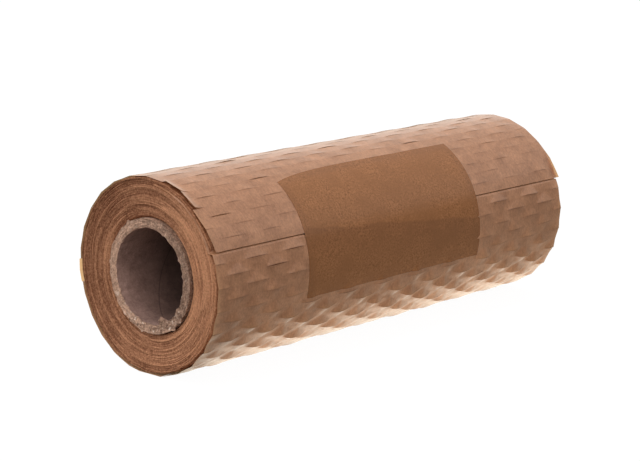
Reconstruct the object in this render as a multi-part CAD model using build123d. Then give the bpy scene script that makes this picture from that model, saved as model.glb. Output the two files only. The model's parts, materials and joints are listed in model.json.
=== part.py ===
from build123d import *

import os
from math import asin, cos, degrees, floor, pi, radians, sin

# Roll of slit kraft paper (honeycomb wrap) on a cardboard core, its loose edge held by packing tape.
#
# Frame: millimetres, +Z up. The roll lies along X on a small flat spot, and the origin is at the
# middle of that flat spot. The dished end is at -X. Angles round the roll are counted from the top
# towards -Y. Rows of slits are counted from the loose edge, over the top and round the back.

# Wound paper
web_width = 200.0  # width of the paper, and so the length of the roll along X
roll_diameter = 74.0  # over the loose edge of the outer turn
turn_step = 0.4  # step at the loose edge: one turn and the air under it
loose_edge_angle = 68.0
flat_spot_width = 12.0  # where the soft roll flattens under its own weight

# Slits that let the paper open into a honeycomb
row_pitch = 4.37  # round the roll, from one row of slits to the next
slit_pitch = 20.0  # along a row, from one slit to the next
uncut_length = 8.5  # along a row, between two slits
upper_lip_lift = 0.6  # the paper bulges at a slit, and the lip away from the loose edge the most
lower_lip_lift = 0.2
foot_gap = 0.44  # between the foot of a lip and the next row of slits

# Edges of the turns at the roll's ends: bundles with a groove between them
turn_bundles = 8
bundle_groove = 0.45
end_dish = 0.8  # the inner turns at -X stand back by this much
rim_width = 1.2  # plain outer turns around the bundles, at the flat spot

# Cardboard core
core_bore = 35.6
core_wall = 3.5
core_set_back = 0.6  # from each end of the paper
core_play = 0.1  # radial play under the first turn

# Strip of packing tape over the loose edge
tape_length = 99.5  # along the roll
tape_width = 50.0  # round the roll, half of it on each side of the loose edge
tape_offset = -3.75  # middle of the strip, from the middle of the roll
tape_thickness = 0.06
adhesive_thickness = 0.02

# Sizes that follow from those
half_web = web_width / 2
roll_radius = roll_diameter / 2
row_count = round(pi * roll_diameter / row_pitch)
row_angle = 360 / row_count
row_spacing = pi * roll_diameter / row_count
lip_reach = 1 - foot_gap / row_spacing  # share of the way to the next row
slits_across = round(web_width / slit_pitch)
slit_step = web_width / slits_across
slit_length = slit_step - uncut_length
rows_under_tape = tape_width / 2 / row_spacing
bottom_row = (loose_edge_angle + 180) / row_angle
bottom_radius = roll_radius - turn_step * bottom_row / row_count
flat_half_angle = degrees(asin(flat_spot_width / 2 / bottom_radius))
flat_half_rows = flat_half_angle / row_angle
axis_height = bottom_radius * cos(radians(flat_half_angle))
rim_radius = axis_height - rim_width
core_diameter = core_bore + 2 * core_wall
first_turn_radius = core_diameter / 2 + core_play


def roll_point(x, row, lift=0.0):
    """Point on a row of slits, lifted off the paper. The radius falls by one turn step on the way
    round from the loose edge, and the floor flattens what would lie below it."""
    angle = radians(loose_edge_angle - row * row_angle)
    radius = roll_radius - turn_step * row / row_count + lift
    height = max(axis_height + radius * cos(angle), 0.0)
    on_flat_spot = abs(row - bottom_row) < flat_half_rows * 1.001
    return Vector(x, -radius * sin(angle), 0.0 if on_flat_spot else height)


def towards(start, end, share):
    return start + (end - start) * share


def outline_rows():
    """Rows where the roll's outline has a corner: each row of slits, but at the bottom only the two
    edges of the flat spot."""
    flat_edges = [bottom_row - flat_half_rows, bottom_row + flat_half_rows]
    least_gap = 0.3  # rows; a row closer than this to the flat spot is left out
    clear = [r for r in range(row_count + 1) if abs(r - bottom_row) > flat_half_rows + least_gap]
    return sorted(clear + flat_edges)


def is_pressed_flat(x, row):
    """Whether the tape or the floor holds down a slit with its middle at x."""
    beside_tape = abs(x - tape_offset) > (tape_length + slit_length) / 2
    past_tape = min(row, row_count - row) > rows_under_tape + lip_reach
    return not (beside_tape or past_tape) or roll_point(x, row, upper_lip_lift).Z <= 0


def slit_middles(row):
    """Places along X of the lifted slits on a row. Even rows are shifted by half a step, so that
    they begin and end with half a slit."""
    if row in (0, row_count) or row != floor(row):
        return []
    inner = [slit_step * i - half_web for i in range(1, slits_across)]
    full = [slit_step * (i + 0.5) - half_web for i in range(slits_across)]
    middles = full if row % 2 else [-half_web, *inner, half_web]
    return [x for x in middles if not is_pressed_flat(x, row)]


def slit_ends(x):
    """Ends of a slit that lie inside the paper: one at a half slit, and otherwise two."""
    return [end for end in (x - slit_length / 2, x + slit_length / 2) if abs(end) < half_web]


def polygon(points):
    return Face(Wire.make_polygon(points, close=True))


def row_border(row, next_row):
    """Points along a row, -X to +X, with a notch towards next_row at each lifted slit."""
    middles = slit_middles(row)
    points = {end: roll_point(end, row) for x in middles for end in slit_ends(x)}
    points |= {x: roll_point(x, row) for x in (-half_web, half_web)}
    points |= {x: towards(roll_point(x, row), roll_point(x, next_row), lip_reach) for x in middles}
    return [points[x] for x in sorted(points)]


def slit_section(x, row, previous_row, next_row):
    """Section through the middle of a slit, from the loose edge's side: foot and edge of the lower
    lip, then edge and foot of the upper lip."""
    base = roll_point(x, row)
    lower_foot = towards(base, roll_point(x, previous_row), lip_reach)
    upper_foot = towards(base, roll_point(x, next_row), lip_reach)
    edges = [roll_point(x, row, lower_lip_lift), roll_point(x, row, upper_lip_lift)]
    return [lower_foot, *edges, upper_foot]


def lifted_slit(section, x, row):
    """Faces of one slit: from each of its ends, the lower lip, the gap and the upper lip."""
    corners = [roll_point(end, row) for end in slit_ends(x)]
    return [polygon([corner, a, b]) for corner in corners for a, b in zip(section, section[1:])]


def turn_edges(x, inward, dish):
    """Zigzag at one end, from the rim in to the first turn, with one tooth for each bundle."""
    step = (rim_radius - first_turn_radius) / (2 * turn_bundles)
    profile = []
    for i in range(2 * turn_bundles + 1):
        set_back = dish * i / (2 * turn_bundles) + bundle_groove * (i % 2)
        profile.append((x + inward * set_back, 0, axis_height + rim_radius - step * i))
    return profile


def make_paper_roll():
    rows = outline_rows()
    faces = [polygon(row_border(a, b) + row_border(b, a)[::-1]) for a, b in zip(rows, rows[1:])]
    end_outlines = {x: [roll_point(x, 0)] for x in (-half_web, half_web)}
    for previous_row, row, next_row in zip(rows, rows[1:], rows[2:]):
        slits = {x: slit_section(x, row, previous_row, next_row) for x in slit_middles(row)}
        for x, section in slits.items():
            faces += lifted_slit(section, x, row)
        for x, outline in end_outlines.items():
            outline += slits.get(x, [roll_point(x, row)])
    for x, outline in end_outlines.items():
        outline.append(roll_point(x, row_count))
        rim = Wire.make_circle(rim_radius, Plane((x, 0, axis_height), z_dir=(1, 0, 0)))
        faces.append(Face(Wire.make_polygon(outline, close=True), [rim]))
    edge_corners = [(-half_web, 0), (half_web, 0), (half_web, row_count), (-half_web, row_count)]
    faces.append(polygon([roll_point(x, row) for x, row in edge_corners]))
    bore_profile = turn_edges(-half_web, 1, end_dish) + turn_edges(half_web, -1, 0)[::-1]
    roll_axis = Axis((0, 0, axis_height), (1, 0, 0))
    faces += Shell.revolve(Wire.make_polygon(bore_profile, close=False), 360, roll_axis).faces()
    return Solid(Shell(faces))


def make_core_tube():
    length = web_width - 2 * core_set_back
    ring = Circle(core_diameter / 2) - Circle(core_bore / 2)
    start = Plane((-length / 2, 0, axis_height), z_dir=(1, 0, 0))
    return extrude(start * ring, length)


def facet_point(row, lift):
    """Point on the flat facet between two rows, for a row number that may be a fraction."""
    lower, upper = (roll_point(0, r, lift) for r in (floor(row), floor(row) + 1))
    return towards(lower, upper, row - floor(row))


def make_closing_tape():
    """The strip follows the facets down to the loose edge and bridges the step below it."""
    whole_rows = range(1, floor(rows_under_tape) + 1)
    path = [rows_under_tape, *reversed(whole_rows), 0]
    path += [row_count - r for r in (*whole_rows, rows_under_tape)]
    inside = [facet_point(row, adhesive_thickness) for row in path]
    outside = [facet_point(row, adhesive_thickness + tape_thickness) for row in path]
    section = polygon(inside + outside[::-1])
    return Pos(tape_offset, 0, 0) * extrude(section, tape_length / 2, dir=(1, 0, 0), both=True)


parts = {
    "paper_roll": make_paper_roll(),
    "core_tube": make_core_tube(),
    "closing_tape": make_closing_tape(),
}
os.makedirs("parts", exist_ok=True)
for name, part in parts.items():
    export_step(part, f"parts/{name}.step")
    print(name, "volume", round(part.volume), "faces", len(part.faces()))
print("axis height", round(axis_height, 4), "rows of slits", row_count)
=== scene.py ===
# %% [markdown]
# # A roll of honeycomb paper
# Kraft paper with rows of short slits is wound on a cardboard core, and a strip of brown packing tape
# holds its loose edge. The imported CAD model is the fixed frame: sizes and places are read from it, and
# then each of its three solids is replaced by pieces with the detail that a plain solid can't hold.

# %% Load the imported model
import json
from math import pi, radians

import bpy
import numpy as np
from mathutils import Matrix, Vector


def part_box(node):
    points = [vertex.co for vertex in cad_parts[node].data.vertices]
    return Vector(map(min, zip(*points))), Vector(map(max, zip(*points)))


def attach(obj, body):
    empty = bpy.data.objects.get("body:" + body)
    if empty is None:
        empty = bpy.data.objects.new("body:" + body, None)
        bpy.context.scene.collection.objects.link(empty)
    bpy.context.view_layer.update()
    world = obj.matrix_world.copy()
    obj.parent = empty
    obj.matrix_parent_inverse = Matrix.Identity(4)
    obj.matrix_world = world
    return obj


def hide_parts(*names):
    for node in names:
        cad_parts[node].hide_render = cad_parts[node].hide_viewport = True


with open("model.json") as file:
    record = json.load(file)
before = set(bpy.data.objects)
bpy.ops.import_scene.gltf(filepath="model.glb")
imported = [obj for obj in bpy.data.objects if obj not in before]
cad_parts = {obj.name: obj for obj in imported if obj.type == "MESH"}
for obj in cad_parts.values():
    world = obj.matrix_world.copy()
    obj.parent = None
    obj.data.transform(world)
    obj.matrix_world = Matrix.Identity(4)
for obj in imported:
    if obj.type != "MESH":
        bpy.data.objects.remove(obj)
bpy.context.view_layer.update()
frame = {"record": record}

# %% [markdown]
# ## Sizes
# Angles round the roll are counted from the top towards the camera's side, -Y. Rows of slits are
# counted from the loose edge, over the top and round the back. The core's axis and the lengths along X
# come from the CAD nodes; the few values that a box can't tell repeat the part's own.

# %% Sizes of the roll
mm = 0.001
paper_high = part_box("paper_roll")[1]
core_low, core_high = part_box("core_tube")
tape_low, tape_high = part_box("closing_tape")
core_bore = next(m for m in frame["record"]["mounts"] if m["name"] == "core_bore")
axis_height = core_bore["pos_m"][2]
bore_radius = core_bore["dims"]["r_mm"] * mm
core_radius = (core_high.z - core_low.z) / 2
half_web = paper_high.x
roll_radius = 37 * mm
turn_step = 0.4 * mm  # step at the loose edge, which is the paper and the air under it
row_count = 53
row_angle = 2 * pi / row_count
loose_edge_degrees = 68
loose_edge_angle = radians(loose_edge_degrees)
print("axis height", round(axis_height / mm, 2), "mm, half the web", round(half_web / mm, 1), "mm")

# %% [markdown]
# ## Helpers for surfaces
# Every piece here is a grid: points worked out as whole numpy arrays, and a four-sided face between
# each four neighbours. Paper is never quite regular, so a small value noise is needed as well. It is
# made here instead of in a modifier, because then the tape can follow the same dents as the paper.

# %% Points on the roll
def on_roll(x, angle, radius, floor=0.0):
    """Points at x along the roll, at an angle from the top towards -Y and at a radius from the axis:
    y = -radius sin(angle), z = axis height + radius cos(angle). Below the floor they are pressed flat."""
    height = np.maximum(axis_height + radius * np.cos(angle), floor)
    return np.stack(np.broadcast_arrays(x, -radius * np.sin(angle), height), axis=-1)


print("top of the roll", on_roll(0.0, 0.0, roll_radius).round(4).tolist())

# %% Noise
def smooth_step(t):
    """0 below 0, 1 above 1, and 3t^2 - 2t^3 between."""
    t = np.clip(t, 0, 1)
    return t * t * (3 - 2 * t)


def noise(u, v, seed):
    """Value noise from -1 to 1: random numbers at whole u and v, blended by smooth steps between."""
    size = 256
    table = np.random.default_rng(seed).uniform(-1, 1, (size, size))
    u, v = np.broadcast_arrays(u, v)
    i, j = np.floor(u).astype(int), np.floor(v).astype(int)
    s, t = smooth_step(u - i), smooth_step(v - j)
    i, j, next_i, next_j = i % size, j % size, (i + 1) % size, (j + 1) % size
    low = table[i, j] * (1 - s) + table[next_i, j] * s
    high = table[i, next_j] * (1 - s) + table[next_i, next_j] * s
    return low * (1 - t) + high * t


def ring_noise(angle, v, cells, seed):
    """Value noise round a ring: two noises, blended so that the last cell runs into the first."""
    turn = (angle / (2 * pi)) % 1
    first = noise(turn * cells, v, seed)
    second = noise((turn - 1) * cells, v, seed)
    blend = smooth_step((turn - 0.8) / 0.2)
    return first * (1 - blend) + second * blend


ring_ends = ring_noise(np.array([0, 2 * pi - 1e-6]), 0.5, 9, seed=1)
print("noise at both ends of a ring", ring_ends.round(3).tolist())

# %% A mesh from a grid
def numbered(points):
    """The vertex numbers of a grid of points, in the grid's own shape."""
    return np.arange(points[..., 0].size).reshape(points.shape[:-1])


def faces_between(index):
    """Four-sided faces of a grid of vertex numbers, one for each four neighbours."""
    corners = index[..., :-1, :-1], index[..., :-1, 1:], index[..., 1:, 1:], index[..., 1:, :-1]
    return np.stack(corners, axis=-1).reshape(-1, 4)


def closed(index):
    """The same grid with its first row and column repeated at the end, so that both join up."""
    index = np.concatenate([index, index[:1]])
    return np.concatenate([index, index[:, :1]], axis=1)


def add_piece(name, points, faces, node, values):
    """A mesh object that rides with the roll and stands for a CAD node. Points that no face uses are
    left out, and values are kept on the points as attributes."""
    used, faces = np.unique(faces, return_inverse=True)
    faces = faces.reshape(-1, 4)
    mesh = bpy.data.meshes.new(name)
    mesh.from_pydata(points.reshape(-1, 3)[used].tolist(), [], faces.tolist())
    mesh.polygons.foreach_set("use_smooth", np.ones(len(faces), bool))
    for key, value in values.items():
        attribute = mesh.attributes.new(key, "FLOAT", "POINT")
        attribute.data.foreach_set("value", value.reshape(-1)[used].astype(np.float32))
    piece = bpy.data.objects.new(name, mesh)
    bpy.context.collection.objects.link(piece)
    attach(piece, "root")
    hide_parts(node)
    print(name, len(used), "points,", 2 * len(faces), "triangles")
    return piece


print("a grid of 3 x 4 points has", len(faces_between(np.arange(12).reshape(3, 4))), "faces")

# %% [markdown]
# ## The outer turn
# The outer turn is what one sees of the paper: a single sheet cut by rows of slits, every other row
# shifted by half a step. Wound round the core, the paper between two rows stays nearly flat, and each
# slit opens into two lips, of which the one away from the loose edge stands proud. A displaced
# texture can't open a gap, so the sheet is made as bands between rows. Two bands share their border
# points where the paper is whole and have points of their own where it is cut.

# %% Rows of slits
slit_pitch = 20 * mm
slit_length = 11.5 * mm
slits_in_row = 12  # numbered from the near end, with the half slits and a spare one
under_rows = 9  # the sheet goes on for this many rows under its own loose end
columns = 255

x = np.linspace(-half_web, half_web, columns + 1)
rows = np.arange(row_count + under_rows + 1)
row_index = rows[:, None]
is_cut = (rows > 0) & (rows < row_count)
row_degrees = (loose_edge_degrees - rows * 360 / row_count + 180) % 360 - 180
first_slit = np.where(rows % 2, slit_pitch / 2, 0) - half_web
slit_number = np.round((x - first_slit[:, None]) / slit_pitch).astype(int)
print(len(rows), "rows of slits, of which", is_cut.sum(), "are cut open")

# %% No two slits are alike
dice = np.random.default_rng(11)
each_slit = (len(rows), slits_in_row)
largest_mood = 1.35
slit_jitter = dice.normal(0, 0.25 * mm, each_slit)
slit_size = dice.normal(1, 0.035, each_slit)
slit_mood = dice.uniform(0.45, largest_mood, each_slit) + (dice.random(each_slit) < 0.07)
slit_pull = dice.beta(1.1, 2.6, each_slit)
slit_skew = dice.uniform(-0.2, 0.2, each_slit)
slit_lower = dice.uniform(0.6, 1.4, each_slit)
print("the lips' share of their usual height:", slit_mood.min().round(2), "to", slit_mood.max().round(2))

# %% Where the slits differ
low_degrees = 95
is_low = row_degrees > low_degrees
at_back = slice(24, 38)  # rows whose slits at the near side are closed
pulled_flat = slice(1, 9)  # rows above the loose edge, which the tape holds taut
wide_open = np.array([(3, 0), (4, 0), (6, 0), (6, 2), (8, 1), (8, 2), (7, 6)])  # rows, and slits on them
slit_mood[is_low] = 0.3 + 0.7 * np.minimum(slit_mood[is_low], largest_mood)  # more alike low down
slit_mood[at_back, 0] *= 0.3
slit_mood[pulled_flat] *= 0.8
slit_skew -= 0.2 * is_low[:, None]
slit_pull *= np.interp(np.arange(slits_in_row), [0, 4, 8], [1, 0.7, 0.35])  # less towards the far end
slit_pull[wide_open[:, 0], wide_open[:, 1]] = 1.3
slit_pull[at_back, 0] = 0
print(is_low.sum(), "rows are low,", len(wide_open), "slits stand wide open")

# %% Where each column lies on its slit
slit_middle = slit_number * slit_pitch + first_slit[:, None] + slit_jitter[row_index, slit_number]
slit_offset = (x - slit_middle) / (slit_length / 2) / slit_size[row_index, slit_number]  # -1 to 1 on it
is_open = (np.abs(slit_offset) < 1) & is_cut[:, None]
slit_bow = np.clip(1 - slit_offset ** 2, 0, None)
lip_offset = slit_offset - slit_skew[row_index, slit_number] * slit_bow
print("the rows are cut over", round(100 * is_open.mean()), "% of their length")

# %% [markdown]
# ## Lips
# How far a lip stands off depends on where it is: little on top, where the paper is taut, most on the
# lower front, where it hangs loose, and almost nothing under the tape. A few heights at chosen angles,
# with straight lines between them, say this more plainly than a formula.

# %% What the tape holds down
side_fade = 6 * mm  # beside the tape the lips come free over this length
side_start = 0.3  # how free a lip is whose middle lies under the side of the tape
held_degrees = 41  # from the loose edge to the last lips that the tape holds
held_fade = 6
lower_held_degrees = 36.5  # the same for lower lips below the loose edge
lower_held_fade = 5
below_tape = 47  # the first row of slits below the tape, which lies on a part of their upper lips
tape_middle = (tape_low.x + tape_high.x) / 2
tape_half = (tape_high.x - tape_low.x) / 2
beside_tape = (np.abs(slit_middle - tape_middle) - tape_half) / side_fade + side_start
past_edge = row_degrees - loose_edge_degrees
clear_above = (np.abs(past_edge) - held_degrees) / held_fade
clear_below = np.where(past_edge > 0, (past_edge - lower_held_degrees) / lower_held_fade, clear_above)
clear_above[below_tape] = 0.6  # these lips lift the tape's lower edge
free_above = smooth_step(np.maximum(beside_tape, clear_above[:, None]))
free_below = smooth_step(np.maximum(beside_tape, clear_below[:, None]))
print("free lips:", round(100 * free_above.mean()), "%")

# %% How far the lips stand off
lift_at = np.array([  # degrees from the top, and mm
    (-180, 0.20), (-120, 0.40), (-60, 0.35), (-20, 0.20), (5, 0.17), (22, 0.19), (40, 0.22), (62, 0.21),
    (70, 0.45), (85, 0.65), (102, 1.05), (114, 1.60), (126, 1.50), (138, 1.20), (150, 0.55), (180, 0.15),
])
held_share = 0.02  # what is left of a lip's height where it is held down
lift = np.interp(row_degrees, lift_at[:, 0], lift_at[:, 1])[:, None] * mm
lift = lift * slit_mood[row_index, slit_number] * is_cut[:, None]
lift = lift * np.interp(np.abs(x), [0.9 * half_web, half_web], [1, 0.35])
upper_height = lift * (held_share + (1 - held_share) * free_above)
lower_share = np.interp(row_degrees, [low_degrees, 112], [0.4, 0.65])[:, None]
lower_height = lift * (held_share + (1 - held_share) * free_below)
lower_height = lower_height * lower_share * slit_lower[row_index, slit_number]
print("highest lip", (upper_height.max() / mm).round(2), "mm")

# %% The shape of a lip
lip_reach = 0.95  # share of the way to the next row


def lip(offset, height, away):
    """A lip's height: a parabola along the slit, which narrows to a point and sinks to nothing on the
    way to the next row, at the share lip_reach of it. So a lip is part of a cone, as bent paper is."""
    left = np.clip(1 - away / lip_reach, 0.001, 1)
    return height * left * np.clip(1 - (offset / left) ** 2, 0, None)


print("half way to the next row a lip has", round(float(lip(0.0, 1.0, 0.5)), 2), "of its height")

# %% [markdown]
# ## The sheet
# Without its lips the sheet is a spiral that falls by one turn step on each turn, with slight waves.
# Its radius is a function of the row and of x, and not part of the mesh code, because the tape will
# ask for the same radius at other points.

# %% The sheet between the slits
hinge_drop = 0.2 * mm
hinge_width = 7 * mm
edge_drop = 0.2 * mm
edge_rows = 3
slack_rows = [40, 43, 46, 48]  # the lower front, where the paper is crumpled


def end_hinge(row, x):
    """Near the ends the paper bends only at the half slits of the even rows, and so it lies lower at
    the odd rows."""
    from_even = 1 - np.abs(row % 2 - 1)
    return hinge_drop * from_even * np.clip(1 - (half_web - np.abs(x)) / hinge_width, 0, 1)


def sheet_radius(row, x):
    """Radius of the sheet without its lips: it falls by one turn step on each turn, waves slightly, is
    crumpled where it is slack, and drops near the loose edge, which lies on the turn below."""
    waves = 0.05 * mm * noise(row * 0.45, x / (17 * mm), seed=3)
    ripples = 0.03 * mm * noise(row * 1.1, x / (7 * mm), seed=4)
    slack = np.interp(row, slack_rows, [0, 1, 1, 0])
    crumple = 0.15 * mm * slack * noise(row * 2.1, x / (3.6 * mm), seed=9)
    at_edge = edge_drop * np.clip(1 - row / edge_rows, 0, 1) ** 2
    return roll_radius - turn_step * row / row_count + waves + ripples + crumple - at_edge - end_hinge(row, x)


print("radius at the loose edge", round(float(sheet_radius(0.0, 0.0)) / mm, 2), "mm")

# %% Bands between the rows
across = np.array([0, 0.1, 0.28, 0.5, 0.72, 0.9, 1])
flatness = 0.045 * mm * 4 * across[:, None] * (1 - across[:, None])  # paper stays flat between two rows
flat_row = (rows[:-1, None] + across)[:, :, None]
upper_lip = lip(lip_offset[:-1, None], upper_height[:-1, None], across[:, None])
lower_lip = lip(lip_offset[1:, None], lower_height[1:, None], 1 - across[:, None])
groove_depth = 1.1 * mm  # the sheet dips where its own loose edge comes to lie on it
groove_rows = 0.1
edge_groove = groove_depth * np.clip(1 - np.abs(flat_row - row_count) / groove_rows, 0, 1)
radius = sheet_radius(flat_row, x) - flatness + upper_lip + lower_lip - edge_groove
print("the sheet is a grid of", " x ".join(str(n) for n in radius.shape), "points")

# %% Slits pulled open
slit_gap = 0.45 * mm
hang_degrees = [0, 62, 75]  # the top, and where the lips begin to hang
gap_rows = slit_gap / (row_angle * roll_radius) * slit_pull[row_index, slit_number] * is_cut[:, None]
gap_rows = gap_rows * (0.1 + 0.9 * free_above)
gap_rows = gap_rows * np.interp(row_degrees, hang_degrees, [0.65, 0.65, 1])[:, None]
opened = lip(slit_offset[:-1, None], gap_rows[:-1, None], across[:, None])
opened = opened - lip(slit_offset[1:, None], gap_rows[1:, None], 1 - across[:, None])
sheet_row = flat_row + 0.5 * opened
print("widest slit", (gap_rows.max() * row_angle * roll_radius / mm).round(2), "mm")

# %% The skewed loose end and the torn side edges
tail_rows = 4
tail_skew = 1.6 * mm
tab_depth = 5 * mm
side_tabs = [  # first and last row, shift along X at each of them, and how far the edge stands off
    (4, 6, 0.5 * mm, 0.4 * mm, 1.2 * mm),
    (6, 8, 1.0 * mm, 0.2 * mm, 1.0 * mm),
    (23, 25, -0.4 * mm, -0.2 * mm, 0.3 * mm),
]
under_drop = 2.0 * mm  # the turn under the loose end dips in at the near side

side_shift = tail_skew * np.clip(1 - flat_row / tail_rows, 0, 1)
side_shift = side_shift + 0.15 * mm * noise(flat_row * 0.3, 0.5, seed=5)
near_side = np.clip(1 - (x + half_web) / tab_depth, 0, 1)
far_side = np.clip(1 - (half_web - x) / tab_depth, 0, 1)
free_edge = far_side * np.clip(1.6 - flat_row / 2, 0, 1)
for first, last, start, end, stand_off in side_tabs:
    in_tab = near_side * ((row_index[:-1, None] >= first) & (row_index[:-1, None] < last))
    side_shift = side_shift + in_tab * (start + (end - start) * (flat_row - first) / (last - first))
    radius = radius + in_tab ** 2 * stand_off
    free_edge = np.maximum(free_edge, 0.7 * in_tab * (start < 0))
    is_open[[first, last]] |= near_side > 0
radius = radius - under_drop * near_side * (flat_row > row_count)
print(len(side_tabs), "torn tabs, skew at the loose end", tail_skew / mm, "mm")

# %% The outer turn's mesh
sheet_angle = loose_edge_angle - sheet_row * row_angle
sheet_points = on_roll(x + side_shift, sheet_angle, radius)
sheet_index = numbered(sheet_points)
sheet_index[1:, 0] = np.where(is_open[1:-1], sheet_index[1:, 0], sheet_index[:-1, -1])
# Painted shade: the cut attribute darkens the upper edge of each open slit, as the shade in its gap, less on
# top of the roll.
cut_shade = np.interp(row_degrees, hang_degrees, [0.3, 0.6, 1]) * is_cut
sheet_values = {
    "along_web": np.broadcast_to(flat_row * row_angle * roll_radius, radius.shape),
    "across_web": np.broadcast_to(x, radius.shape),
    "free_edge": np.maximum(free_edge, 0.12 * np.clip(upper_lip / mm, 0, 1)),
    "cut": (across == 0)[:, None] * (slit_bow * free_above * cut_shade[:, None])[:-1, None],
}
outer_turn = add_piece(
    "outer_turn", sheet_points, faces_between(sheet_index), "paper_roll", sheet_values
)

# %% [markdown]
# ## The wound turns
# Under the outer turn lies the rest of the paper. At the ends its edges show as fine rings: each turn
# stands a little in or out, and bundles of turns have slipped together and left grooves. Modelling
# each turn as a sheet would take millions of faces, so one closed skin carries the rings as relief.

# %% Outside of the turns
ring_angles = np.linspace(0, 2 * pi, 300, endpoint=False)
core_play = 0.1 * mm
first_turn_radius = core_radius + core_play
ditch_depth = 1.2 * mm
ditch_rows = 0.5


def turns_radius(angle, under_turn, under_tail):
    """Outside of the wound turns: the outer turn's radius, less a gap under one turn or a wider one
    under the loose end. A ditch follows the loose edge."""
    row = ((loose_edge_angle - angle) % (2 * pi)) / row_angle
    gap_at_rows = [0, under_rows - 4, under_rows, 28, 38, 48, row_count]
    gaps = [under_tail, under_tail, under_turn, under_turn, 2 * under_turn, 2 * under_turn, under_turn]
    gap = np.interp(row, gap_at_rows, gaps)
    ditch = ditch_depth * np.clip(1 - np.minimum(row, row_count - row) / ditch_rows, 0, 1)
    return roll_radius - turn_step * row / row_count - gap - ditch - end_hinge(row, half_web)


print("first turn", round(first_turn_radius / mm, 1), "mm from the axis")

# %% Relief of the turns' edges
def turn_relief(share, seed):
    """Height and tone of the turns' edges, at a share of the way from the core to the outside. Noises
    that change fast with the share and slowly round the roll give single turns, bundles and slipped
    groups a height of their own. Where such a noise passes zero, two turns part and leave a groove,
    wider near the outside. The tone follows the height, partly as the turns' own tone and partly as
    painted light and shade: raised turns lighter, grooves darker. It is also painted lighter on the
    camera's side and darker at the top and bottom."""
    wobble = ring_noise(ring_angles, share * 4, 7, seed)
    slipped = ring_noise(ring_angles, share * 13 + 0.5 * wobble, 5, seed + 1)
    bundle = ring_noise(ring_angles, share * 24 + wobble, 9, seed + 2)
    turn = ring_noise(ring_angles, share * 62 + wobble, 19, seed + 3)
    loose = 1 + 2.2 * smooth_step((share - 0.72) / 0.28)
    groove = loose * (0.18 * (1 - np.abs(bundle)) ** 7 + 0.10 * (1 - np.abs(turn)) ** 4)
    groove = groove + 0.2 * (1 - np.abs(slipped)) ** 9
    height = (0.14 * slipped + 0.10 * bundle + 0.06 * turn - groove) * mm
    # partly the turns' own tone, partly painted light and shade: raised turns lighter, grooves darker
    tone = 0.58 + 0.3 * slipped + 0.3 * bundle + 0.25 * turn - 1.6 * groove
    # painted light and shade: lighter on the camera's side, darker at the top and bottom
    tone = tone + 0.36 * np.sin(ring_angles) - 0.03 * np.cos(ring_angles) - 0.08 * np.cos(2 * ring_angles)
    return height, tone


def turn_edges(samples, seed, dish, under_turn, under_tail):
    """Radius of the turns' edges, how far they stand in from the web's end, and their tone. The dish
    deepens towards the core. The last turns at the rim, on the camera's side, and the first ones at the
    core stand further in, and are painted darker as shade in these gaps."""
    share = np.linspace(0, 1, samples)[:, None]
    outside = turns_radius(ring_angles, under_turn, under_tail)
    even = roll_radius - turn_step / 2 - under_turn
    radius = first_turn_radius + share * (even - first_turn_radius) + share ** 8 * (outside - even)
    height, tone = turn_relief(share, seed)
    at_rim = smooth_step((share - 0.95) / 0.05) * np.clip(2 * np.sin(ring_angles), 0, 1)
    at_core = smooth_step(1 - share / 0.05)
    set_back = 0.3 * mm + dish * (1 - share) ** 1.3 - height
    set_back = set_back + 2.5 * under_turn * at_rim + 2 * under_turn * at_core
    # painted shade in the gaps at the rim and at the core
    tone = tone - 0.5 * at_core - 0.3 * at_rim
    return radius, set_back, np.clip(tone, 0, 1)


near_radius, near_back, near_tone_and_shade = turn_edges(
    200, seed=21, dish=1.8 * mm, under_turn=0.45 * mm, under_tail=1.2 * mm
)
far_radius, far_back, far_tone_and_shade = turn_edges(
    90, seed=31, dish=0.2 * mm, under_turn=0.3 * mm, under_tail=0.65 * mm
)
print("the edges at the near end stand up to", (near_back.max() / mm).round(2), "mm in")

# %% The turns' mesh
turns_floor = 0.3 * mm
rim_depth = 0.5 * mm  # a second line of points just round the rim keeps its shading crisp
near_points = on_roll(near_back - half_web, ring_angles, near_radius, turns_floor)
near_rim = on_roll(near_back[-1:] - half_web + rim_depth, ring_angles, near_radius[-1:], turns_floor)
far_rim = on_roll(half_web - far_back[-1:] - rim_depth, ring_angles, far_radius[-1:], turns_floor)
far_points = on_roll(half_web - far_back, ring_angles, far_radius, turns_floor)[::-1]
turns_points = np.concatenate([near_points, near_rim, far_rim, far_points])
# The outside of the turns, seen only through gaps under the outer turn, gets the darkest tone: painted shade.
turns_tone_and_shade = np.concatenate([near_tone_and_shade, 0 * near_tone_and_shade[-1:], 0 * far_tone_and_shade[-1:], far_tone_and_shade[::-1]])
wound_turns = add_piece(
    "wound_turns",
    turns_points,
    faces_between(closed(numbered(turns_points))),
    "paper_roll",
    {"turn_tone_and_shade": turns_tone_and_shade},
)

# %% [markdown]
# ## The core
# A core is strips of brown-grey board wound in a spiral and glued, then sawn to length. The saw leaves
# the ring of the end rough, with fibres and a torn curl hanging from the inner edge. A plain tube with
# a bump map would keep a smooth edge, so a profile is carried round the axis, and noise that is
# strongest at the sawn edges moves its points.

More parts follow.
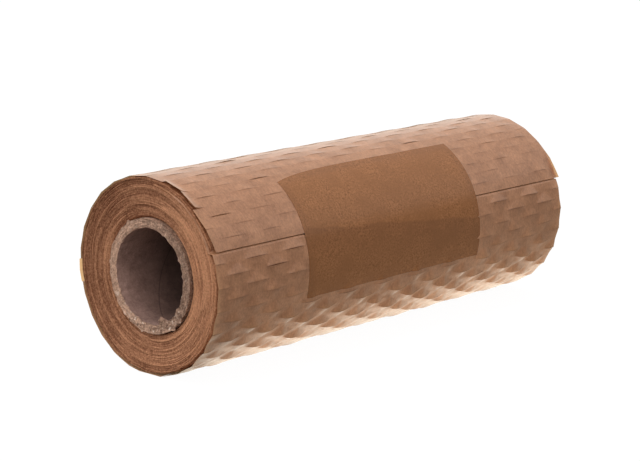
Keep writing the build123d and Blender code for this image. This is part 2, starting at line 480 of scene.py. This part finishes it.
# %% The tube's profile
core_angles = np.linspace(0, 2 * pi, 360, endpoint=False)
half_core = core_high.x
near_ends = np.array([0.1, 0.3, 0.7, 1.4, 2.5]) * mm  # lines of points close to the sawn ends
face_share = np.concatenate([[0, 0.02, 0.06], np.linspace(0.12, 0.88, 12), [0.94, 0.98, 1]])
face_radius = bore_radius + face_share * (core_radius - bore_radius)
outside_x = np.concatenate([near_ends - half_core, half_core - near_ends[::-1]])
middle_x = np.linspace(0.95, -0.95, 50) * half_core
bore_x = np.concatenate([half_core - near_ends, middle_x, near_ends[::-1] - half_core])
profile_x = [-half_core + 0 * face_share, outside_x, half_core + 0 * face_share, bore_x]
profile_r = [face_radius, core_radius + 0 * outside_x, face_radius[::-1], bore_radius + 0 * bore_x]
profile_x = np.concatenate(profile_x)[:, None]
profile_r = np.concatenate(profile_r)[:, None]
from_bore = profile_r - bore_radius
from_end = half_core - np.abs(profile_x)
is_near = profile_x < 0
print("the profile has", len(profile_x), "points")

# %% The sawn ends
def fades(depth, depth_scale, length, length_scale):
    """1 at an edge of the tube, and falling off with the depth from it and the length from the end."""
    return np.exp(-depth / depth_scale) * np.exp(-length / length_scale)


far_plies = 40 * (profile_x > 0)  # another part of the noise for the far end
ply = from_bore / (0.45 * mm) + far_plies
rough = ring_noise(core_angles, ply * 1.3, 110, seed=41)
coarse = ring_noise(core_angles, ply * 0.5, 26, seed=42)
inner_jag = ring_noise(core_angles, far_plies + 0.5, 75, seed=43)
outer_jag = ring_noise(core_angles, far_plies + 0.5, 60, seed=44)
sawn = np.exp(-from_end / (0.15 * mm))
inner_edge = fades(from_bore, 0.35 * mm, from_end, 0.7 * mm)
outer_edge = fades(core_radius - profile_r, 0.35 * mm, from_end, 0.5 * mm)
inner_teeth = 0.4 * inner_jag + np.clip(inner_jag - 0.4, 0, None)
outer_teeth = 0.35 * outer_jag + 1.8 * np.clip(outer_jag - 0.38, 0, None)
print("teeth up to", inner_teeth.max().round(2), "mm inside,", outer_teeth.max().round(2), "mm outside")

# %% A torn curl in the near end's bore
burr_angle = radians(158)
burr_width = radians(5.5)
notch_angle = burr_angle - radians(7)
notch_width = radians(1.8)
curl_length = 2.0  # mm
burr_edge = fades(from_bore, 0.8 * mm, from_end, 0.9 * mm) * is_near
burr = burr_edge * np.exp(-((core_angles - burr_angle) / burr_width) ** 4)
burr_notch = burr_edge * np.exp(-((core_angles - notch_angle) / notch_width) ** 2)
print("the curl hangs about", (curl_length * burr.max()).round(1), "mm into the bore")

# %% The core's mesh
sawn_back = sawn * (0.28 * rough + 0.24 * coarse + 0.4) + inner_edge * (0.1 + 0.1 * inner_jag)
sawn_back = sawn_back - 1.1 * burr + 0.9 * burr_notch
core_x = profile_x - np.sign(profile_x) * sawn_back * mm
core_r = profile_r - (inner_edge * inner_teeth + (curl_length + 0.5 * rough) * burr) * mm
core_r = core_r + outer_edge * is_near * outer_teeth * mm
core_points = on_roll(core_x, core_angles, core_r)
core_shape = core_points.shape[:2]
core_values = {
    "sawn": np.broadcast_to(np.where(from_bore > 0, 1, sawn), core_shape),
    # Painted light and shade: the sawn ring is a little lighter on the +Y side and darker on the -Y side.
    "painted_side_light": np.broadcast_to(np.cos(core_angles + radians(100)), core_shape),
}
core = add_piece(
    "core", core_points, faces_between(closed(numbered(core_points))), "core_tube", core_values
)

# %% [markdown]
# ## The tape
# The strip lies on the outer turn like a skin: it bridges the step at the loose edge, its lower edge
# lies on the lips there, and it was stuck on slightly askew. A copy of the paper's faces would have a
# ragged outline, so the strip has an even grid of its own on the sheet's surface, moved out a little,
# and a Solidify modifier gives the film its thickness.

# %% The strip's outline
tape_top = radians(27.6)
tape_bottom = radians(106.4)
tape_corner = radians(5.7)  # how far the near upper corner lies lower
tape_rim = 0.001  # share of the strip between its cut edge and the next line of points
tape_length = tape_high.x - tape_low.x
tape_u = np.concatenate([[0], np.linspace(tape_rim, 1 - tape_rim, 168), [1]])
tape_v = np.concatenate([[0], np.linspace(tape_rim, 1 - tape_rim, 118), [1]])[:, None]
tape_x = tape_low.x + tape_u * tape_length
tape_start = tape_top + tape_corner * (1 - tape_u) ** 8
tape_angle = tape_start + tape_v * (tape_bottom - tape_start)
tape_row = (loose_edge_angle - tape_angle) / row_angle
tape_width = (tape_bottom - tape_top) * roll_radius
print("tape", round(tape_length / mm, 1), "x", round(tape_width / mm, 1), "mm")

# %% How it lies on the paper
bridge_length = 9 * mm
on_tail = sheet_radius(np.maximum(tape_row, 0), tape_x)
on_turn = sheet_radius(np.minimum(tape_row, 0) + row_count, tape_x)
bridge = smooth_step(1 - (tape_angle - loose_edge_angle) * roll_radius / bridge_length)
tape_radius = np.where(tape_row > 0, on_tail, on_turn + bridge * (on_tail - on_turn))
edge_offset = np.interp(tape_x, x, np.abs(lip_offset[below_tape]))
edge_height = np.interp(tape_x, x, upper_height[below_tape])
edge_away = np.clip(tape_row + row_count - below_tape, 0, 1)
edge_lift = lip(edge_offset, edge_height, edge_away)
tape_radius = tape_radius + edge_lift
print("the lips below it lift its edge by up to", (edge_lift.max() / mm).round(2), "mm")

# %% Where it is stuck down
wet_middle = radians(73)
wet_tilt = radians(8)
wet_waver = radians(1.2)
rim_held = 2.5 * mm
wet_edge = wet_middle + wet_tilt * (2 * tape_u - 1) + wet_waver * noise(tape_x / (14 * mm), 0.5, seed=6)
wet = smooth_step((tape_angle - wet_edge) / radians(0.8))
wet = wet * (1 - 0.8 * smooth_step((tape_angle - wet_edge) / radians(28)))
from_side = np.minimum(tape_u, 1 - tape_u) * tape_length
from_rim = np.minimum(from_side, (tape_angle - tape_start) * roll_radius)
wet = np.maximum(wet, 0.45 * (1 - smooth_step((from_rim - rim_held) / (1.5 * mm))))
print("stuck down:", round(100 * wet.mean()), "% of the strip")

# %% The film
tape_thickness = 0.04 * mm
tape_gap = 0.03 * mm
tape_points = on_roll(tape_x, tape_angle, tape_radius + tape_gap + tape_thickness)
tape_faces = faces_between(numbered(tape_points)[:, ::-1])
tape = add_piece("tape", tape_points, tape_faces, "closing_tape", {"wet": wet})
film = tape.modifiers.new("film", "SOLIDIFY")
film.thickness = tape_thickness
film.offset = -1

# %% [markdown]
# ## Writing shaders as expressions
# A material is a tree of nodes. Linking dozens of Math nodes by hand hides the formula, so a small
# class wraps a socket: adding or multiplying two sockets adds the node that does it.

# %% Sockets that can be added and multiplied
class Value:
    """An output socket. Arithmetic on it adds Math nodes and gives the result's socket."""

    def __init__(self, finish, socket):
        self.finish = finish
        self.socket = socket

    def __add__(self, other):
        return self.finish.math("ADD", self, other)

    def __radd__(self, other):
        return self.finish.math("ADD", other, self)

    def __sub__(self, other):
        return self.finish.math("SUBTRACT", self, other)

    def __rsub__(self, other):
        return self.finish.math("SUBTRACT", other, self)

    def __mul__(self, other):
        return self.finish.math("MULTIPLY", self, other)

    def __rmul__(self, other):
        return self.finish.math("MULTIPLY", other, self)


# %% A finish, which is a tree of nodes
class Finish:
    """The node tree of a material or of the world while it is made."""

    def __init__(self, owner):
        owner.use_nodes = True
        self.name = owner.name
        self.tree = owner.node_tree
        self.tree.nodes.clear()

    def add(self, kind, settings, inputs, output=0):
        """Adds a node of a kind: first its settings, then a value or a link for each input."""
        node = self.tree.nodes.new(kind)
        for name, value in settings.items():
            setattr(node, name, value)
        for name, value in inputs.items():
            if isinstance(value, Value):
                self.tree.links.new(value.socket, node.inputs[name])
            else:
                node.inputs[name].default_value = value
        return Value(self, node.outputs[output]) if node.outputs else node

    def place(self):
        """Object coordinates, in metres."""
        return self.add("ShaderNodeTexCoord", {}, {}, "Object")

    def math(self, operation, *values):
        """A Math node: an operation on sockets or numbers."""
        return self.add("ShaderNodeMath", {"operation": operation}, dict(enumerate(values)))

    def part(self, vector, axis):
        """The X, Y or Z part of a vector."""
        return self.add("ShaderNodeSeparateXYZ", {}, {"Vector": vector}, axis)

    def attribute(self, name):
        """A value that is kept on the points of the mesh."""
        return self.add("ShaderNodeAttribute", {"attribute_name": name}, {}, "Fac")

    def noise(self, vector, scale, detail=2.0, roughness=0.5):
        """Noise round 0.5, with about scale cells to a metre of the vector."""
        inputs = {"Vector": vector, "Scale": scale, "Detail": detail, "Roughness": roughness}
        return self.add("ShaderNodeTexNoise", {}, inputs)

    def stretch(self, vector, scale):
        """A vector with each of its parts multiplied."""
        return self.add("ShaderNodeVectorMath", {"operation": "MULTIPLY"}, {0: vector, 1: scale})

    def stretch_and_move(self, vector, scale, move):
        """A vector with each of its parts multiplied, and then another vector added."""
        inputs = {0: vector, 1: scale, 2: move}
        return self.add("ShaderNodeVectorMath", {"operation": "MULTIPLY_ADD"}, inputs)

    def ramp(self, value, start, end):
        """0 up to start, 1 from end, and straight between."""
        inputs = {"Value": value, "From Min": start, "From Max": end}
        return self.add("ShaderNodeMapRange", {"clamp": True}, inputs)

    def mix(self, factor, first, second):
        """Blends two colours."""
        return self.add("ShaderNodeMix", {"data_type": "RGBA"}, {0: factor, 6: first, 7: second}, 2)

    def bump(self, height, distance, strength=1.0):
        """A normal that leans as if the surface rose by the height times the distance."""
        return self.add("ShaderNodeBump", {}, {"Height": height, "Distance": distance, "Strength": strength})

    def surface(self, shader, output="ShaderNodeOutputMaterial"):
        """Makes a shader the surface, which finishes the tree."""
        self.add(output, {}, {"Surface": shader})
        print(self.name, len(self.tree.nodes), "nodes")


def new_finish(name, piece):
    """The finish of a new material that a piece gets."""
    material = bpy.data.materials.new(name)
    piece.data.materials.append(material)
    return Finish(material)


# %% [markdown]
# ## Kraft paper
# Unbleached kraft is a warm brown with fibres that lie mostly along the web, cloudy patches where the
# pulp was thicker, and a faint sheen at a grazing angle. Thin sheets let light through, so a lifted
# edge glows. Subsurface scattering is meant for thick bodies, so a Principled shader gives the surface
# and a share of Translucent gives the glow.

# %% Outer turn's finish
dark_kraft = (0.30, 0.133, 0.066, 1)
light_kraft = (0.58, 0.286, 0.156, 1)
dark_speck = (0.20, 0.095, 0.045, 1)
# colour of the painted shade along the open slits
painted_slit_shade = (0.10, 0.04, 0.018, 1)

kraft = new_finish("kraft_paper", outer_turn)
place = kraft.place()
web = kraft.add(
    "ShaderNodeCombineXYZ", {}, {"X": kraft.attribute("along_web"), "Y": kraft.attribute("across_web")}
)
clouds = kraft.noise(place, 160.0, 3.0, 0.6)
fibres = kraft.noise(kraft.stretch(web, (420.0, 1500.0, 1.0)), 1.0, 3.0, 0.7)
grain = kraft.noise(place, 1100.0, 3.0, 0.7)
specks = kraft.ramp(kraft.noise(place, 1900.0, 1.0), 0.62, 0.74)
mottle = kraft.ramp(clouds * 0.35 + fibres * 0.3 + grain * 0.35, 0.36, 0.64)
tone = kraft.mix(mottle, dark_kraft, light_kraft)
tone = kraft.mix(specks * 0.3, tone, dark_speck)
# paints shade along the open slits
tone = kraft.mix(kraft.attribute("cut") * 0.5, tone, painted_slit_shade)
paper = kraft.add(
    "ShaderNodeBsdfPrincipled",
    {},
    {
        "Base Color": tone,
        "Roughness": 0.3,
        "IOR": 1.45,
        "Sheen Weight": 0.4,
        "Sheen Roughness": 0.35,
        "Sheen Tint": (1.0, 0.78, 0.55, 1),
        "Coat Weight": 0.12,
        "Coat Roughness": 0.2,
        "Normal": kraft.bump(fibres + clouds, 0.03 * mm, 0.5),
    },
)
glow = kraft.add("ShaderNodeBsdfTranslucent", {}, {"Color": (0.96, 0.62, 0.30, 1)})
thinness = 0.1 + 0.65 * kraft.attribute("free_edge")
kraft.surface(kraft.add("ShaderNodeMixShader", {}, {0: thinness, 1: paper, 2: glow}))

# %% [markdown]
# ## Cut edges of the turns
# At the ends one looks onto the cut edges of the paper: fine streaks that run round the axis, with the
# fuzz of the fibres over them. A ring texture would be too even. Noise is stretched instead: its place
# is the distance from the axis, many times enlarged, and the bearing, hardly enlarged.

# %% Turns' finish
dark_edge = (0.175, 0.058, 0.022, 1)
light_edge = (0.62, 0.290, 0.149, 1)
streaks_per_metre = 2300
streaks_per_bearing = 2.5

edges = new_finish("kraft_edges", wound_turns)
place = edges.place()
spoke = edges.stretch_and_move(place, (0, 1, 1), (0, 0, -axis_height))
outward = edges.add("ShaderNodeVectorMath", {"operation": "LENGTH"}, {0: spoke}, "Value")
bearing = edges.add("ShaderNodeVectorMath", {"operation": "NORMALIZE"}, {0: spoke})
across_turns = edges.add("ShaderNodeCombineXYZ", {}, {"X": outward * streaks_per_metre})
streak_place = edges.stretch_and_move(bearing, (0, streaks_per_bearing, streaks_per_bearing), across_turns)
streaks = edges.noise(streak_place, 1.0, 3.0, 0.7)
fuzz = edges.noise(place, 2200.0, 3.0, 0.7)
specks = edges.noise(place, 1250.0, 2.0, 0.6)
patches = edges.noise(place, 120.0, 2.0, 0.5)
# the turns' tone attribute carries their own tone and their painted light and shade
edge_tone = 0.42 * edges.attribute("turn_tone_and_shade") + 0.6 * streaks + 0.6 * fuzz + 0.85 * specks + 0.2 * patches
edge_colour = edges.mix(edges.ramp(edge_tone, 1.03, 1.65), dark_edge, light_edge)
edge_bump = edges.bump(streaks + fuzz, 0.12 * mm)
edge_inputs = {"Base Color": edge_colour, "Roughness": 0.8, "IOR": 1.4, "Normal": edge_bump}
edges.surface(edges.add("ShaderNodeBsdfPrincipled", {}, edge_inputs))

# %% [markdown]
# ## Core board
# Recycled board is greyer than the paper and flecked with fibres. Where the saw tore it, it is lighter,
# with light chips, strongest at the bottom; dark pits there are painted shade, and the ring is painted
# lighter on one side. In the bore the seam of the spiral shows as a thin line, and the lining is painted
# darker inwards and towards the bottom, as shade. A pattern wrapped round the tube would show a joint, so
# the flecks are noise on Object coordinates.

# %% Core's lining
dark_lining = (0.33, 0.194, 0.157, 1)
light_lining = (0.61, 0.377, 0.307, 1)
painted_bore_shade = (0.035, 0.018, 0.013, 1)
seam_colour = (0.03, 0.016, 0.012, 1)
seam_pitch = 70 * mm
seam_start = 0.31  # share of a turn, which puts the seam about 20 mm inside the near end
lit_depth = 26 * mm  # how far light reaches into the bore

board = new_finish("core_board", core)
place = board.place()
along = board.part(place, "X")
side_part = board.part(place, "Y")
height_part = board.part(place, "Z") - axis_height
bearing = board.math("ARCTAN2", side_part, height_part)
spiral = bearing * (0.5 / pi) + along * (1 / seam_pitch) + seam_start
from_seam = board.math("FRACT", spiral) - 0.5
seam = 1 - board.ramp(board.math("ABSOLUTE", from_seam), 0.002, 0.006)
flecks = board.noise(place, 1400.0, 3.0, 0.7)
crumbs = board.noise(place, 480.0, 3.0, 0.65)
blotches = board.noise(place, 130.0, 3.0, 0.6)
lining_tone = board.ramp(0.3 * flecks + 0.35 * crumbs + 0.35 * blotches, 0.38, 0.62)
lining = board.mix(lining_tone, dark_lining, light_lining)
# Painted shade: the lining darkens inwards from each end and towards the bottom of the bore.
inside = board.ramp(board.math("ABSOLUTE", along), half_core - lit_depth, half_core - 2 * mm)
low = 1 - board.ramp(height_part, -bore_radius, -0.5 * bore_radius)
lining = board.mix((inside * 0.76 + 0.24) * (1 - 0.42 * low), painted_bore_shade, lining)
lining = board.mix(seam * 0.4, lining, seam_colour)
print("one turn of the spiral is", round(seam_pitch / mm), "mm long")

# %% Core's sawn ends
dark_board = (0.19, 0.110, 0.074, 1)
light_board = (0.60, 0.366, 0.254, 1)
chip_colour = (0.85, 0.66, 0.53, 1)
# colour of the painted shade in pits
painted_pit_shade = (0.09, 0.043, 0.026, 1)

# with a little painted light and shade by side
crumbled = 0.65 * flecks + 0.35 * crumbs + 0.07 * board.attribute("painted_side_light")
sawn_tone = board.mix(board.ramp(crumbled, 0.37, 0.63), dark_board, light_board)
chipped = board.noise(place, 650.0, 2.0, 0.5)
ragged = 0.75 - 0.55 * board.ramp(height_part, -bore_radius, 0.0)
chips = board.ramp(chipped, 0.60, 0.68) * ragged
# Painted shade: dark pits stand for hollows in the torn board, strongest at the bottom.
pits = (1 - board.ramp(chipped, 0.33, 0.41)) * ragged
sawn_tone = board.mix(chips, sawn_tone, chip_colour)
sawn_tone = board.mix(pits, sawn_tone, painted_pit_shade)
board_colour = board.mix(board.attribute("sawn"), lining, sawn_tone)
board_bump = board.bump(flecks, 0.14 * mm)
board_inputs = {"Base Color": board_colour, "Roughness": 0.85, "IOR": 1.4, "Normal": board_bump}
board.surface(board.add("ShaderNodeBsdfPrincipled", {}, board_inputs))

# %% [markdown]
# ## Packing tape
# The film is glossy and see-through brown, so it darkens the paper under it, most where it is stuck
# down well. Small pockets of air under it make fine specks, in patches. A clear film over the paper
# would need many light bounces, so the colour is set as seen, film and paper together.

# %% Tape's finish
dark_film = (0.222, 0.091, 0.034, 1)
light_film = (0.380, 0.161, 0.065, 1)
wet_film = (0.130, 0.054, 0.028, 1)

strip = new_finish("packing_tape", tape)
place = strip.place()
pockets = strip.noise(place, 1500.0, 2.0, 0.6)
smears = strip.noise(place, 90.0, 3.0, 0.6)
patches = strip.ramp(smears, 0.4, 0.6)
film_tone = strip.ramp((pockets - 0.5) * (0.3 + 0.7 * patches) + 0.2 * smears, -0.05, 0.25)
film_colour = strip.mix(film_tone, dark_film, light_film)
film_colour = strip.mix(strip.attribute("wet") * 0.28, film_colour, wet_film)
film_bump = strip.bump(pockets, 0.03 * mm, 0.6)
film_inputs = {"Base Color": film_colour, "Roughness": 0.25, "IOR": 1.3, "Normal": film_bump}
strip.surface(strip.add("ShaderNodeBsdfPrincipled", {}, film_inputs))

# %% [markdown]
# ## A lit white table
# The roll lies on a white table that is lit from below, in front of nothing but white. A white sheet
# under lamps would be greyer than its surroundings, so the floor itself gives light: white to the
# camera, and to the paper a level that is highest in two bands beside the roll. What the glossy film
# and paper mirror has a level of its own. A small diffuse share keeps the roll's shadow.

# %% The table
table_half = 8  # metres
corners = [(a * table_half, b * table_half, 0) for a, b in ((-1, -1), (1, -1), (1, 1), (-1, 1))]
table_mesh = bpy.data.meshes.new("table")
table_mesh.from_pydata(corners, [], [(0, 1, 2, 3)])
table = bpy.data.objects.new("table", table_mesh)
table.location.z = -0.1 * mm
bpy.context.collection.objects.link(table)


def is_seen(finish):
    """1 for rays that show the background, from the camera or through something clear."""
    path = "ShaderNodeLightPath"
    camera = finish.add(path, {}, {}, "Is Camera Ray")
    through = finish.add(path, {}, {}, "Is Transmission Ray")
    return finish.ramp(camera + through, 0.0, 1.0)


print("table", 2 * table_half, "m wide")

# %% The table's light
far_fade = 0.12, 0.17  # metres along the roll, where the light ends
near_fade = -0.105, -0.08
front_fade = -0.12, -0.09
band_start = 0.008  # metres from the line that the roll rests on
band_middle = 0.028
band_end = 0.056
mirror_end = 0.036

lit = new_finish("lit_table", table)
place = lit.place()
beside = lit.part(place, "X")
depth = lit.math("ABSOLUTE", lit.part(place, "Y"))
seen = is_seen(lit)
mirrored = lit.add("ShaderNodeLightPath", {}, {}, "Is Glossy Ray")
along_roll = (1 - lit.ramp(beside, *far_fade)) * lit.ramp(beside, *near_fade)
near_roll = lit.ramp(depth, band_start, band_middle) * (1 - lit.ramp(depth, band_middle, band_end))
near_roll = near_roll * along_roll * (1 + 1.3 * beside)
under_roll = (1 - lit.ramp(depth, band_start, mirror_end)) * along_roll
around = 0.06 + 0.19 * lit.ramp(beside, *front_fade)
level = (1 - mirrored) * (around + 1.7 * near_roll) + mirrored * (0.25 + 2.5 * under_roll)
strength = seen * 0.97 + (1 - seen) * level
hue = lit.mix(seen, (1.0, 0.985, 0.87, 1), (1, 1, 1, 1))
light = lit.add("ShaderNodeEmission", {}, {"Color": hue, "Strength": strength})
matt = lit.add("ShaderNodeBsdfDiffuse", {}, {"Color": (0.05, 0.05, 0.05, 1)})
lit.surface(lit.add("ShaderNodeAddShader", {}, {0: light, 1: matt}))

# %% [markdown]
# ## A white room
# Behind the roll all is white to the camera. The roll itself stands in a dimmer room, with a bright
# wall to its left, a bright band low behind it and a lighter upper half, and these give the round
# paper its soft shading. Walls would need a mesh each, so the world's strength changes with the way
# that a ray goes.

# %% The room
world = bpy.data.worlds.new("white_room")
bpy.context.scene.world = world
room = Finish(world)
seen = is_seen(room)
way = room.add("ShaderNodeTexCoord", {}, {}, "Generated")
to_side = room.part(way, "X")
to_back = room.part(way, "Y")
to_sky = room.part(way, "Z")
behind = room.ramp(to_back, -0.1, 0.45) * (1 - room.ramp(to_sky, 0.25, 0.5))
upper_half = room.ramp(to_sky, 0.26, 0.31)
left_wall = 1 - room.ramp(to_side, -0.9, -0.4)
upper = 0.40 * upper_half + 0.35 * upper_half * (1 - room.ramp(to_back, -0.6, 0.0))
level = 0.24 + upper + behind * (1 - 0.4 * upper_half) + 0.92 * left_wall
strength = seen + (1 - seen) * level
backdrop = room.add("ShaderNodeBackground", {}, {"Color": (1, 1, 1, 1), "Strength": strength})
room.surface(backdrop, "ShaderNodeOutputWorld")

# %% [markdown]
# ## Soft boxes
# One soft box hangs overhead, and a second one stands high behind the roll and lights the top of it at
# a grazing angle. A lamp's power is set from the share of full white that it should give a sheet
# facing it: pi squared times the distance squared, times that share.

# %% Lamps
aim = Vector((0, 0, axis_height))


def soft_box(name, direction, distance, width, height, share):
    """A rectangular lamp at a distance from the roll, in a direction from it, that faces the roll."""
    lamp = bpy.data.lights.new(name, "AREA")
    lamp.shape = "RECTANGLE"
    lamp.size = width
    lamp.size_y = height
    lamp.energy = pi ** 2 * distance ** 2 * share
    box = bpy.data.objects.new(name, lamp)
    box.location = aim + Vector(direction).normalized() * distance
    box.rotation_euler = (aim - box.location).to_track_quat("-Z", "Y").to_euler()
    bpy.context.collection.objects.link(box)
    print(name, round(lamp.energy, 2), "W")


soft_box("overhead", (0.0, -0.05, 1.0), distance=1.2, width=1.2, height=0.4, share=0.35)
soft_box("behind", (-0.1, 1.2, 1.0), distance=1.3, width=1.2, height=0.5, share=0.42)

# %% [markdown]
# ## The camera
# The photograph was taken with a long lens from the left front, a little above the roll. The place and
# the direction were fitted to the outlines of the roll's two ends. An empty to look at would do as
# well, but a direction needs no second object.

# %% Camera
camera_place = (-0.578851, -0.530449, 0.203329)
camera_direction = Vector((0.71648, 0.66643, -0.20622))
camera_data = bpy.data.cameras.new("camera")
camera_data.sensor_width = 36
camera_data.lens = 114.07
camera = bpy.data.objects.new("camera", camera_data)
camera.location = camera_place
camera.rotation_euler = camera_direction.to_track_quat("-Z", "Y").to_euler()
bpy.context.collection.objects.link(camera)
bpy.context.scene.camera = camera
bpy.context.scene.view_settings.view_transform = "Standard"
print("camera", round((camera.location - aim).length, 2), "m from the roll's middle")
